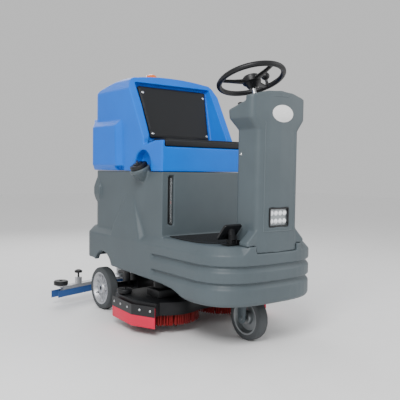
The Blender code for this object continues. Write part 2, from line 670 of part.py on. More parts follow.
# ---------------------------------------------------------------- rear axle
def make_rear_axle():
    """Transaxle with its motor, and the two driven wheels."""
    middle = (0, REAR_AXLE_Y, REAR_WHEEL_RADIUS)
    axle = piece("transaxle", disc(0.072, -0.110, 0.000, middle, "X", 28), "cast_aluminium")
    combine(axle, "UNION", disc(0.026, -0.262, 0.262, middle, "X", 18))
    combine(axle, "UNION", disc(0.012, -0.330, 0.330, middle, "X", 14))
    for x in (-0.150, 0.235):
        combine(axle, "UNION", centred((x, REAR_AXLE_Y, 0.220), (0.010, 0.080, 0.163)))
    piece("drive_motor", ring(0.0265, 0.055, 0.001, 0.210, middle, "X", 24), "black_steel")
    for side, name in ((-1, "right"), (1, "left")):
        centre = (side * REAR_WHEEL_X, REAR_AXLE_Y, REAR_WHEEL_RADIUS)
        half = REAR_WHEEL_WIDTH / 2
        inner_face = [(0.0125, -half + 0.004), (0.040, -half + 0.004), (0.050, -0.006), (0.078, -0.004),
                      (0.092, -half + 0.001), (REAR_RIM_RADIUS, -half + 0.001)]
        outer_face = [(REAR_RIM_RADIUS, half - 0.001), (0.092, half - 0.001), (0.080, half - 0.016),
                      (0.048, half - 0.020), (0.038, half - 0.003), (0.0125, half - 0.003)]
        profile = inner_face + outer_face
        if side < 0:
            profile = [(radius, -height) for radius, height in reversed(profile)]
        piece(f"rear_hub_{name}", wheel_solid(profile, centre), "cast_aluminium", centre)
        rubber = tyre(REAR_RIM_RADIUS + RIM_GAP, REAR_WHEEL_RADIUS, REAR_WHEEL_WIDTH, centre)
        piece(f"rear_tyre_{name}", rubber, "grey_tyre", centre)


# ---------------------------------------------------------------- chassis and machinery
def make_chassis():
    """Welded ladder frame under the body and what is bolted to it."""
    rail, twin = [centred((x, 0.010, FRAME_Z), (0.040, 0.960, 0.050)) for x in (-FRAME_RAIL_X, FRAME_RAIL_X)]
    frame = piece("chassis_frame", rail, "black_steel")
    cross_members = ((-0.440, 0.05), (0.05, 0.03), (0.470, 0.04))
    crossings = [centred((0, y, FRAME_Z), (2 * FRAME_RAIL_X, width, 0.036)) for y, width in cross_members]
    combine(frame, "UNION", twin, *crossings)
    outriggers = [centred((0, y, 0.345), (0.560, 0.030, 0.018)) for y in (-0.340, 0.150)]
    combine(frame, "UNION", *outriggers)
    for side in (-1, 1):
        lug = centred((side * 0.1, 0.505, 0.250), (0.010, 0.050, 0.150))
        combine(frame, "UNION", lug)

    for name, x in (("right", -0.138), ("left", 0.138)):
        case = piece(f"battery_{name}", centred((x, -0.020, 0.545), (0.262, 0.388, 0.262)), "battery_case")
        posts = [disc(0.009, 0.670, 0.690, (x + dx, -0.180, 0), segments=10) for dx in (-0.1, 0.1)]
        combine(case, "UNION", *posts)
    piece("controller_box", centred((0.150, 0.300, 0.470), (0.200, 0.160, 0.115)), "cast_aluminium")
    vacuum = [(0.0, 0.4105), (0.070, 0.4105), (0.072, 0.440), (0.072, 0.480), (0.060, 0.490), (0.060, 0.560),
              (0.045, 0.580), (0.0, 0.582)]
    piece("vacuum_motor", turned(vacuum, (-0.140, 0.330, 0), segments=24), "black_plastic")
    bowl = [(0.0, 0.0), (0.022, 0.0), (0.030, 0.008), (0.030, 0.060), (0.034, 0.062), (0.034, 0.082),
            (0.0, 0.082)]
    piece("solution_filter", turned(bowl, (0.235, -0.020, 0.268), segments=20), "wet_filter")

    bracket = piece("pedal_bracket", centred((-0.176, -0.668, 0.516), (0.044, 0.050, 0.022)), "bright_steel")
    combine(bracket, "UNION", centred((-0.200, -0.676, 0.5105), (0.080, 0.064, 0.004)))
    for x in (-0.216, -0.184):
        combine(bracket, "UNION", centred((x, -0.694, 0.530), (0.004, 0.022, 0.040)))
    make_pedal()


PEDAL_PIVOT = Vector((-0.200, -0.694, 0.540))


def make_pedal():
    """Accelerator pedal that rocks on its bracket."""
    slope = math.atan2(0.600 - 0.532, 0.700 - 0.642)
    turn = Matrix.Rotation(-slope, 3, "X")
    pad = prism(rounded_rectangle(-0.053, 0.053, -0.046, 0.046, 0.010), 0.0, 0.010)
    bmesh.ops.rotate(pad, verts=pad.verts, cent=(0, 0, 0), matrix=turn)
    bmesh.ops.translate(pad, verts=pad.verts, vec=(-0.200, -0.672, 0.563))
    pedal = piece("accelerator_pedal", pad, "black_plastic", PEDAL_PIVOT)
    lug = prism([(-0.704, 0.532), (-0.684, 0.532), (-0.668, 0.574), (-0.688, 0.590)], -0.2125, -0.1875, "X")
    combine(pedal, "UNION", lug)


def make_actuators():
    """Electric lift cylinders of the brush deck and of the squeegee."""
    case = piece("deck_actuator", ring(0.0135, 0.026, 0.235, 0.396, (0, -0.130, 0), segments=18),
                 "grey_steel")
    combine(case, "UNION", disc(0.026, 0.386, 0.397, (0, -0.130, 0), segments=18))
    case = piece("squeegee_actuator", centred((0.0, 0.330, 0.290), (0.060, 0.150, 0.060)), "black_plastic")
    combine(case, "UNION", centred((0, 0.420, 0.290), (0.034, 0.060, 0.034)))


# ---------------------------------------------------------------- fittings on the grey body
def make_body_fittings():
    """Sight tube with its float, and the filler cap."""
    x = -0.258
    y = BOX_FRONT_Y + 0.004
    piece("level_tube", ring(0.0042, 0.0058, 0.578, 0.812, (x, y, 0), segments=14), "clear_plastic")
    piece("level_float", disc(0.0037, -0.008, 0.008, (x, y, 0.684), segments=12), "red_plastic",
          (x, y, 0.684))

    cap_profile = [(0.0, GAP), (0.046, GAP), (0.049, 0.004), (0.049, 0.018), (0.045, 0.022), (0.028, 0.023),
                   (0.026, 0.030), (0.0, 0.031)]
    cap_shape = turned(cap_profile, SPOUT_CENTRE, segments=20, tilt=SPOUT_TILT)
    cap = piece("filler_cap", cap_shape, "black_plastic", SPOUT_CENTRE)
    grip = prism(rounded_rectangle(-0.030, 0.030, -0.007, 0.007, 0.005, 2), 0.020, 0.038)
    grip_turn = SPOUT_TILT @ Matrix.Rotation(math.radians(60), 3, "Z")
    bmesh.ops.rotate(grip, verts=grip.verts, cent=(0, 0, 0), matrix=grip_turn)
    bmesh.ops.translate(grip, verts=grip.verts, vec=SPOUT_CENTRE)
    combine(cap, "UNION", grip)


# ---------------------------------------------------------------- blue recovery tank
ROOF_REAR = (0.400, 1.343)
ROOF_FRONT = (WING_TOP_Y + 0.022, 1.396)


def tank_side_profile():
    """Side view of the tank: seat, sloping wings, roof and rear."""
    low = SEAM_Z + SEAM_GAP / 2
    roof = [(0.500, 1.300), (0.440, 1.332), ROOF_REAR, ROOF_FRONT]
    wing = [(WING_TOP_Y + 0.006, 1.398), (WING_TOP_Y - 0.004, 1.388), (-0.085, SEAT_RAIL_Z)]
    return [(BOX_FRONT_Y, low), (BOX_REAR_Y, low), (BOX_REAR_Y, 1.270), *roof, *wing,
            (BOX_FRONT_Y, SEAT_RAIL_Z)]


def tank_front_profile():
    """Front view: flat sides, a chamfer along the roof and a low arch."""
    right = [(TANK_HALF_WIDTH, 0.80), (TANK_HALF_WIDTH, 1.306), (0.290, 1.362), (0.270, 1.376)]
    crown = [(x, 1.378 + 0.020 * (1 - (x / 0.25) ** 2)) for x in (0.24, 0.16, 0.08, 0.0)]
    half = right + crown
    return half + [(-x, z) for x, z in reversed(half[:-1])]


def back_recess():
    """Draughted hollow that holds the backrest."""
    rings = []
    for z, y_front, half_front, y_rear, half_rear in ((0.950, -0.110, 0.274, 0.012, 0.228),
                                                      (1.348, 0.040, 0.283, 0.142, 0.258)):
        rings.append([(-half_front, y_front, z), (half_front, y_front, z), (half_rear, y_rear, z),
                      (-half_rear, y_rear, z)])
    return loft(rings)


def seat_plan(half_front, front, half_rear, rear):
    """Plan of the seat: wide between the rails and narrower between the wings."""
    left = [(half_front, front), (half_front, WING_FOOT_Y), (half_rear, WING_FOOT_Y + 0.030),
            (half_rear - 0.024, rear)]
    return left + [(-x, y) for x, y in reversed(left)]


def side_bump():
    """Raised panel on the side of the tank with chamfered edges."""
    rings = []
    for x, front, rear, low, high in ((0.300, 0.128, 0.535, 0.846, 1.160),
                                      (TANK_HALF_WIDTH, 0.146, 0.500, 0.846, 1.137),
                                      (0.345, 0.178, 0.470, 0.880, 1.103)):
        rings.append([(-x, front, low), (-x, rear, low), (-x, rear, high), (-x, front + 0.012, high)])
    return loft(rings)


def filler_recess():
    """Space round the filler cap, open to the side and down."""
    outline = [(-0.150, 0.800), (0.012, 0.800), (0.020, 0.880)]
    outline += arc(-0.070, 0.880, 0.080, 12, 168, 8)
    outline += [(-0.150, 0.880)]
    return prism(outline, -0.420, FILLER_RECESS_X, "X")


def rail_chamfer():
    """Slope between the outer side and the seat rail, narrowing to the front."""
    rings = []
    for y, inner_x, inner_z, outer_z in ((-0.275, -0.3165, 1.0095, 1.0075), (-0.075, -0.276, 1.0095, 0.966)):
        rings.append([(-0.340, y, outer_z), (inner_x, y, inner_z), (inner_x, y, 1.030), (-0.340, y, 1.030)])
    return loft(rings)


LID_CENTRE = Vector((0.130, 0.300, 1.366))
ROOF_SLOPE = math.atan2(ROOF_FRONT[1] - ROOF_REAR[1], ROOF_REAR[0] - ROOF_FRONT[0])
LID_TURN = Matrix.Rotation(-ROOF_SLOPE, 3, "X")
LID_RADIUS = 0.110


def make_recovery_tank():
    """Blue tank that carries the seat; it tips up to reach the batteries."""
    plan = box_outline(TANK_HALF_WIDTH, BOX_FRONT_Y, BOX_REAR_Y, BOX_CORNER_RADIUS)
    tank = piece("recovery_tank", prism(plan, 0.820, 1.450), "blue_plastic", TANK_HINGE)
    side_shape = prism(tank_side_profile(), -0.40, 0.40, "X")
    combine(tank, "INTERSECT", side_shape, prism(tank_front_profile(), -0.40, 0.60, "Y"))
    combine(tank, "UNION", mirrored(side_bump()))
    seat_recess = prism(seat_plan(0.300, -0.300, 0.270, 0.010), SEAT_LIP_Z, 1.100)
    seat_well = prism(seat_plan(0.280, -0.236, 0.262, 0.004), SEAT_FLOOR_Z, 1.000)
    combine(tank, "DIFFERENCE", seat_recess, seat_well, back_recess(), filler_recess(),
            mirrored(rail_chamfer()))
    under_seat = block((-TANK_CORE_HALF_WIDTH, -0.236, 0.800), (0.290, 0.120, SEAT_FLOOR_Z - 0.012))
    rings = []
    for z, right, left, front, rear in ((0.875, TANK_CORE_HALF_WIDTH, 0.290, 0.145, TANK_CORE_REAR_Y),
                                        (1.100, 0.280, 0.290, 0.160, TANK_CORE_REAR_Y),
                                        (1.320, 0.276, 0.276, 0.176, 0.440)):
        rings.append([(-right, front, z), (left, front, z), (left, rear, z), (-right, rear, z)])
    water_space = loft(rings)
    lid_hole = disc(LID_RADIUS - 0.020, -0.100, 0.060, LID_CENTRE, segments=24, tilt=LID_TURN)
    lid_seat = disc(LID_RADIUS + 0.012, 0.002, 0.080, LID_CENTRE, segments=28, tilt=LID_TURN)
    hand_notch = block((-0.360, 0.135, 0.840), (-0.300, 0.205, 0.872))
    combine(tank, "DIFFERENCE", under_seat, water_space, lid_hole, lid_seat, hand_notch)

    lid_profile = [(0.0, 0.0025), (LID_RADIUS, 0.0025), (LID_RADIUS, 0.016), (LID_RADIUS - 0.010, 0.022),
                   (0.030, 0.025), (0.0, 0.025)]
    lid_hinge = LID_CENTRE + LID_TURN @ Vector((0, LID_RADIUS + 0.008, 0.0145))
    lid = piece("tank_lid", turned(lid_profile, LID_CENTRE, segments=32, tilt=LID_TURN), "black_plastic",
                lid_hinge)
    lug = centred((0, LID_RADIUS, 0.0145), (0.050, 0.028, 0.010))
    bmesh.ops.rotate(lug, verts=lug.verts, cent=(0, 0, 0), matrix=LID_TURN)
    bmesh.ops.translate(lug, verts=lug.verts, vec=LID_CENTRE)
    combine(lid, "UNION", lug)

    base = (-0.058, 0.262, 0.0)
    dome = [(0.0, 1.3915), (0.040, 1.3915), (0.040, 1.397), (0.034, 1.398), (0.034, 1.412), (0.028, 1.424),
            (0.015, 1.429), (0.0, 1.430)]
    piece("beacon", turned(dome, base, segments=24), "orange_lens")

    make_cushions()


def make_cushions():
    """Seat cushion and backrest as plain solids."""
    outline = seat_plan(0.296, -0.2605, 0.264, 0.000)
    inner = seat_plan(0.275, -0.232, 0.254, -0.010)
    seat = piece("seat_cushion", prism(outline, SEAT_LIP_Z + GAP, 1.006), "black_vinyl")
    combine(seat, "UNION", prism(inner, SEAT_FLOOR_Z + GAP, 0.990))
    combine(seat, "UNION", prism(inner, 0.990, 1.016))
    foot_y, foot_z = 0.019, 1.026
    top_y, top_z = 0.119, 1.338
    half = [(0.208, 0.0), (0.214, 0.02), (0.250, 0.97), (0.238, 1.0)]
    rings = []
    for y_shift in (0.0, 0.016):
        face = [(x, foot_y + (top_y - foot_y) * along + y_shift, foot_z + (top_z - foot_z) * along)
                for x, along in half]
        rings.append(face + [(-x, y, z) for x, y, z in reversed(face)])
    piece("back_cushion", loft(rings), "black_vinyl")


# ---------------------------------------------------------------- brush deck
def deck_outline():
    """Plan of the deck's steel housing: two round fronts and straight wings."""
    half = [(0.0, -0.300), (0.075, -0.302)]
    half += arc(BRUSH_X, BRUSH_Y, DECK_ROUND_RADIUS, 240, 308, 6)
    half += [(0.372, -0.304), (0.428, -0.187), (0.414, 0.046), (0.330, 0.060)]
    half += arc(BRUSH_X, BRUSH_Y, DECK_ROUND_RADIUS, 62, 100, 4)
    half += [(0.0, 0.076)]
    return half + [(-x, y) for x, y in reversed(half[1:-1])]


def make_deck():
    """Deck housing with skirts, brush motors, brushes and guard rollers."""
    outline = deck_outline()
    origin = (0, BRUSH_Y, DECK_TOP_Z)
    deck = piece("deck_housing", prism(outline, DECK_BOTTOM_Z, DECK_TOP_Z), "black_steel", origin)
    combine(deck, "DIFFERENCE", prism(offset(outline, DECK_PLATE), 0.080, DECK_TOP_Z - 0.008))
    combine(deck, "UNION", centred((0, BRUSH_Y, 0.182), (0.150, 0.060, 0.030)))
    combine(deck, "UNION", disc(0.012, 0.190, 0.330, (0, BRUSH_Y, 0), segments=14))

    for side, name in ((-1, "right"), (1, "left")):
        outer_edge = [(0.4335, 0.044), (0.4475, -0.187), (0.388, -0.318)]
        inner_edge = [(0.3800, -0.3110), (0.4375, -0.1865), (0.4235, 0.0435)]
        shape = prism(outer_edge + inner_edge, 0.046, 0.150)
        if side < 0:
            bmesh.ops.scale(shape, verts=shape.verts, vec=MIRROR_X)
            bmesh.ops.reverse_faces(shape, faces=shape.faces)
        piece(f"side_skirt_{name}", shape, "pink_urethane", origin)
        x = side * BRUSH_X
        motor = [(0.0, 0.000), (0.068, 0.000), (0.068, 0.030), (0.052, 0.034), (0.050, 0.112), (0.030, 0.118),
                 (0.0, 0.118)]
        motor_shape = turned(motor, (x, BRUSH_Y, DECK_TOP_Z + GAP), segments=24)
        body = piece(f"brush_motor_{name}", motor_shape, "cast_aluminium", origin)
        gearbox = centred((x + side * 0.020, BRUSH_Y - 0.030, DECK_TOP_Z + 0.022), (0.130, 0.120, 0.038))
        combine(body, "UNION", gearbox)
        bristles = [(0.0, 0.120), (0.060, 0.120), (0.064, BRUSH_BOTTOM_Z), (BRUSH_RADIUS, BRUSH_BOTTOM_Z),
                    (0.196, 0.120)]
        brush = bristles + [(0.190, 0.124), (0.190, 0.146), (0.040, 0.148), (0.036, 0.160), (0.0, 0.160)]
        piece(f"brush_{name}", turned(brush, (x, BRUSH_Y, 0), segments=24), "red_bristle", (x, BRUSH_Y, 0.12))
        roller_at = (side * 0.384, -0.002, 0)
        foot = DECK_TOP_Z + GAP
        roller = [(0.0, foot), (0.020, foot), (0.040, 0.176), (0.042, 0.180), (0.042, 0.196), (0.038, 0.200),
                  (0.010, 0.200), (0.008, 0.206), (0.0, 0.206)]
        piece(f"deck_roller_{name}", turned(roller, roller_at, segments=18), "black_plastic", roller_at)


# ---------------------------------------------------------------- squeegee
def squeegee_y(x):
    """Plan curve of the squeegee: a V with a rounded apex."""
    rounding = 0.012
    return SQUEEGEE_APEX_Y + rounding - math.hypot(SQUEEGEE_SLOPE * x, rounding)


def swept_along_squeegee(section, end_x):
    """A bar with the given (y, z) section that follows the squeegee's curve."""
    rings = []
    for x in (-end_x, -0.300, -0.060, 0.0, 0.060, 0.300, end_x):
        rings.append([(x, squeegee_y(x) + dy, z) for dy, z in section])
    return loft(rings)


def squeegee_strip(end_x, front, rear, low, high):
    """A flat strip between two offsets from the squeegee's curve."""
    return swept_along_squeegee([(front, low), (rear, low), (rear, high), (front, high)], end_x)


HITCH_PIVOT = Vector((0.0, 0.680, 0.150))
ARM_PIVOT = Vector((0.0, 0.510, 0.200))


def channel_strip(end_x, half_depth, low, high, wall):
    """An inverted channel that follows the squeegee's curve."""
    section = [(-half_depth, low), (-half_depth + wall, low), (-half_depth + wall, high - wall),
               (half_depth - wall, high - wall), (half_depth - wall, low), (half_depth, low),
               (half_depth, high), (-half_depth, high)]
    return swept_along_squeegee(section, end_x)


def make_squeegee():
    """Squeegee with its lift arm, blades, adjusters and rollers."""
    arm = piece("squeegee_arm", centred((0, 0.600, 0.177), (0.064, 0.110, 0.006)), "black_steel", ARM_PIVOT)
    for side in (-1, 1):
        outline = [(0.500, 0.188), (0.522, 0.186), (0.690, 0.138), (0.700, 0.150), (0.690, 0.162),
                   (0.522, 0.214), (0.500, 0.212)]
        x0, x1 = sorted((side * 0.030, side * 0.038))
        combine(arm, "UNION", prism(outline, x0, x1, "X"))
    combine(arm, "UNION", disc(0.008, -0.094, 0.094, ARM_PIVOT, "X", 12))

    hitch = piece("squeegee_hitch", centred(HITCH_PIVOT, (0.058, 0.036, 0.032)), "grey_steel", HITCH_PIVOT)
    combine(hitch, "UNION", disc(0.022, 0.1265, 0.140, (0, HITCH_PIVOT.y, 0), segments=18))

    bar_origin = (0, HITCH_PIVOT.y, 0.12)
    channel = channel_strip(BAR_END_X, 0.024, 0.084, BAR_TOP_Z, 0.0045)
    bar = piece("squeegee_bar", channel, "cast_aluminium", bar_origin)
    combine(bar, "UNION", block((-0.085, 0.655, 0.114), (0.085, 0.765, 0.126)))
    combine(bar, "DIFFERENCE", disc(0.0215, 0.090, 0.140, (0, SUCTION_PORT_Y, 0), segments=20))
    combine(bar, "UNION", ring(0.0190, 0.0240, 0.113, 0.176, (0, SUCTION_PORT_Y, 0), segments=20))
    combine(bar, "UNION", block((-0.026, 0.7600, 0.115), (0.026, 0.7900, 0.123)),
            block((-0.012, 0.7820, 0.090), (0.012, -BODY_FRONT_Y, 0.121)))
    for side, name in ((-1, "right"), (1, "left")):
        end = (side * SQUEEGEE_ROLLER_X, squeegee_y(SQUEEGEE_ROLLER_X), 0)
        knob_at = (side * ADJUSTER_X, squeegee_y(ADJUSTER_X), 0)
        combine(bar, "UNION", centred((side * 0.478, squeegee_y(0.478), 0.119), (0.050, 0.044, 0.012)))
        combine(bar, "UNION", centred((knob_at[0], knob_at[1], 0.134), (0.034, 0.030, 0.042)))
        roller = [(0.0, 0.1255), (0.043, 0.1255), (0.044, 0.130), (0.044, 0.148), (0.040, 0.152),
                  (0.010, 0.152), (0.008, 0.158), (0.0, 0.158)]
        piece(f"squeegee_roller_{name}", turned(roller, end, segments=18), "black_plastic", end)
        knob = [(0.0, 0.1555), (0.006, 0.1555), (0.006, 0.182), (0.024, 0.184), (0.025, 0.196),
                (0.010, 0.204), (0.0, 0.204)]
        piece(f"squeegee_knob_{name}", turned(knob, knob_at, segments=18), "black_plastic", knob_at)
    near, far = BLADE_OFFSETS
    rear_blade = squeegee_strip(SQUEEGEE_END_X, near, far, BLADE_BOTTOM_Z, BLADE_TOP_Z)
    piece("squeegee_blade_rear", rear_blade, "blue_rubber", bar_origin)
    front_blade = squeegee_strip(0.520, -far, -near, BLADE_BOTTOM_Z + 0.004, BLADE_TOP_Z)
    piece("squeegee_blade_front", front_blade, "blue_rubber", bar_origin)


make_lower_body()
make_floor_mat()
make_column()
make_controls()
make_steering()
make_front_wheel()
make_rear_axle()
make_chassis()
make_actuators()
make_body_fittings()
make_recovery_tank()
make_deck()
make_squeegee()
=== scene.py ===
import json
import math
import random

import bmesh
import bpy
from mathutils import Matrix, Vector


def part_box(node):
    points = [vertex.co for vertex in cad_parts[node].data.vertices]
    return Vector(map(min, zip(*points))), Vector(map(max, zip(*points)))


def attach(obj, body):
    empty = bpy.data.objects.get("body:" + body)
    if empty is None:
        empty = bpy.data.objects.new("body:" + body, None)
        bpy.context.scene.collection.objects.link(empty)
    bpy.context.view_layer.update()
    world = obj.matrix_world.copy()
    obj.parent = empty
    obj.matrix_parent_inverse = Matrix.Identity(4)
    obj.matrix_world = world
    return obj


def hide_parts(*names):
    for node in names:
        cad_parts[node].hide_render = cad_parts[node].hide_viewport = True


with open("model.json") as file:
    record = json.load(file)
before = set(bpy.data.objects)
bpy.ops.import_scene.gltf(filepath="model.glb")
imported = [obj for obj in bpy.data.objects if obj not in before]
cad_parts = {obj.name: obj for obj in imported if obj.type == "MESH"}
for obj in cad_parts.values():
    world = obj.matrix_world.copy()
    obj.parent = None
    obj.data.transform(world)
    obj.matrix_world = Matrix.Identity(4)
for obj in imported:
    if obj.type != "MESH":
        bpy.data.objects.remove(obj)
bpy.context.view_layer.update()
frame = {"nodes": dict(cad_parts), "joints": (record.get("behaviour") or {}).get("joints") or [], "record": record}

NODES = frame["nodes"]
JOINTS = {joint["name"]: joint for joint in frame["joints"]}
SLOTS = {part["node"]: part["material_slot"] for part in frame["record"]["subparts"]}
BODY_OF = {node: body for body, members in frame["record"]["behaviour"]["bodies"].items() for node in members}

CLOTH_FRAMES = 20
CUSHION_VOXEL = 0.005
CUSHION_SWELL = 0.005        # furthest that the cloth may move a cushion's surface
CASING_VOXEL = 0.0045
ROUND_SEGMENTS = 72
MERGE_DISTANCE = 1e-6
FLAT_ANGLE = math.radians(1.0)   # facets closer than this count as one face
SMALL_BEVEL = 0.0012
SKIRT_BEVEL = 0.0008
MOTOR_BEVEL = 0.0015

CAMERA_PLACE = (-1.9383, -2.7284, 0.8627)
CAMERA_TURN = (37.157, 3.133, 0.844)   # yaw, pitch down and roll, in degrees
CAMERA_LENS = 51.44

RIM_RADIUS = 0.164           # steering wheel, to the middle of its tube
RIM_TUBE = 0.0133
SPOKE_ANGLES = (20, 160, 270)
COLUMN_HALF_WIDTH = 0.134
COLUMN_CROWN = 0.014         # how far the column's front curves back at its sides
BEAD_RADIUS = 0.0042
RIB_PITCH = 0.012
BRISTLE_RINGS = (0.078, 0.102, 0.126, 0.150, 0.172, 0.190)
TUFT_SPACING = 0.0150
BRISTLE_TOP_Z = 0.121
SKIRT_OUTER = ((0.4345, 0.044), (0.4487, -0.187), (0.3890, -0.319))     # outer face of a skirt holder
SKIRT_BACK = ((0.4336, 0.0435), (0.4476, -0.1868), (0.3882, -0.3178))   # its inner face
SKIRT_Z = (0.104, 0.1585)
BOLT_Z = 0.134
BACKREST_FOOT_Y = 0.019
BACKREST_FOOT_Z = 1.026
BACKREST_LEAN = 0.100
BACKREST_RISE = 0.312
STUD_SINK = 0.003


# ---------------------------------------------------------------- camera, light and floor
def make_camera():
    """Camera in front of the machine and to its right, at about chest height."""
    yaw, pitch, roll = (math.radians(angle) for angle in CAMERA_TURN)
    forward = Vector((math.sin(yaw) * math.cos(pitch), math.cos(yaw) * math.cos(pitch), -math.sin(pitch)))
    level = Vector((math.cos(yaw), -math.sin(yaw), 0.0))
    above = level.cross(forward)
    right = level * math.cos(roll) + above * math.sin(roll)
    up = above * math.cos(roll) - level * math.sin(roll)
    turn = Matrix((right, up, -forward)).transposed().to_4x4()
    data = bpy.data.cameras.new("camera")
    data.sensor_width = 36.0
    data.lens = CAMERA_LENS
    camera = bpy.data.objects.new("camera", data)
    camera.matrix_world = Matrix.Translation(CAMERA_PLACE) @ turn
    bpy.context.scene.collection.objects.link(camera)
    bpy.context.scene.camera = camera


def area_light(name, place, target, size, watts):
    """Soft light aimed at a point."""
    data = bpy.data.lights.new(name, "AREA")
    data.size = size
    data.energy = watts
    light = bpy.data.objects.new(name, data)
    light.location = place
    light.rotation_euler = (Vector(target) - Vector(place)).to_track_quat("-Z", "Y").to_euler()
    bpy.context.scene.collection.objects.link(light)


def make_studio():
    """Plain pale floor, pale surroundings and three soft lights."""
    world = bpy.data.worlds.new("studio")
    world.use_nodes = True
    backdrop = world.node_tree.nodes["Background"]
    backdrop.inputs["Color"].default_value = (1.0, 1.0, 1.0, 1.0)
    backdrop.inputs["Strength"].default_value = 0.70
    bpy.context.scene.world = world
    bm = bmesh.new()
    bmesh.ops.create_grid(bm, x_segments=1, y_segments=1, size=14.0)
    floor = new_object("studio_floor", bm)
    floor.location.z = -0.0005
    floor.data.materials.append(material("floor_paint", (0.97, 0.97, 0.97), 0.6, grain=0.0, mottle=0.01))
    area_light("key", (-2.6, -2.4, 3.2), (0.0, 0.0, 0.6), 1.6, 150.0)
    area_light("fill", (2.8, -2.6, 2.0), (0.0, 0.0, 0.6), 2.6, 40.0)
    area_light("back", (0.6, 3.2, 2.8), (0.0, 0.0, 0.8), 2.4, 55.0)


# ---------------------------------------------------------------- materials
def material(name, colour, roughness, metallic=0.0, grain=0.0004, grain_scale=900.0, mottle=0.06,
             wear=0.0, coat=0.0, transmission=0.0, specular=0.35, streak=None):
    """Procedural surface: mottled colour, uneven roughness, fine relief and paler worn edges."""
    made = bpy.data.materials.new(name)
    made.use_nodes = True
    tree = made.node_tree
    shader = tree.nodes["Principled BSDF"]
    shader.inputs["Metallic"].default_value = metallic
    shader.inputs["Coat Weight"].default_value = coat
    shader.inputs["Specular IOR Level"].default_value = specular
    shader.inputs["Transmission Weight"].default_value = transmission
    place = tree.nodes.new("ShaderNodeTexCoord")
    where = place.outputs["Object"]
    if streak:
        stretch = tree.nodes.new("ShaderNodeMapping")
        stretch.inputs["Scale"].default_value = streak
        tree.links.new(where, stretch.inputs["Vector"])
        where = stretch.outputs["Vector"]

    broad = tree.nodes.new("ShaderNodeTexNoise")
    broad.inputs["Scale"].default_value = 7.0
    broad.inputs["Detail"].default_value = 6.0
    tree.links.new(where, broad.inputs["Vector"])
    tones = tree.nodes.new("ShaderNodeValToRGB")
    tones.color_ramp.elements[0].position = 0.3
    tones.color_ramp.elements[1].position = 0.7
    tones.color_ramp.elements[0].color = (*[channel * (1 - mottle) for channel in colour], 1.0)
    tones.color_ramp.elements[1].color = (*[min(1.0, channel * (1 + mottle)) for channel in colour], 1.0)
    tree.links.new(broad.outputs["Fac"], tones.inputs["Fac"])
    colour_out = tones.outputs["Color"]
    if wear:
        edge = tree.nodes.new("ShaderNodeNewGeometry")
        limits = tree.nodes.new("ShaderNodeMapRange")
        limits.inputs["From Min"].default_value = 0.52
        limits.inputs["From Max"].default_value = 0.62
        limits.inputs["To Max"].default_value = wear
        tree.links.new(edge.outputs["Pointiness"], limits.inputs["Value"])
        mix = tree.nodes.new("ShaderNodeMixRGB")
        mix.inputs["Color2"].default_value = (*[min(1.0, channel * 1.6 + 0.05) for channel in colour], 1.0)
        tree.links.new(limits.outputs["Result"], mix.inputs["Fac"])
        tree.links.new(colour_out, mix.inputs["Color1"])
        colour_out = mix.outputs["Color"]
    tree.links.new(colour_out, shader.inputs["Base Color"])

    fine = tree.nodes.new("ShaderNodeTexNoise")
    fine.inputs["Scale"].default_value = grain_scale
    fine.inputs["Detail"].default_value = 3.0
    tree.links.new(where, fine.inputs["Vector"])
    sheen = tree.nodes.new("ShaderNodeMapRange")
    sheen.inputs["To Min"].default_value = max(0.03, roughness - 0.07)
    sheen.inputs["To Max"].default_value = min(1.0, roughness + 0.09)
    tree.links.new(broad.outputs["Fac"], sheen.inputs["Value"])
    tree.links.new(sheen.outputs["Result"], shader.inputs["Roughness"])
    if grain:
        relief = tree.nodes.new("ShaderNodeBump")
        relief.inputs["Strength"].default_value = 0.35
        relief.inputs["Distance"].default_value = grain
        tree.links.new(fine.outputs["Fac"], relief.inputs["Height"])
        tree.links.new(relief.outputs["Normal"], shader.inputs["Normal"])
    return made


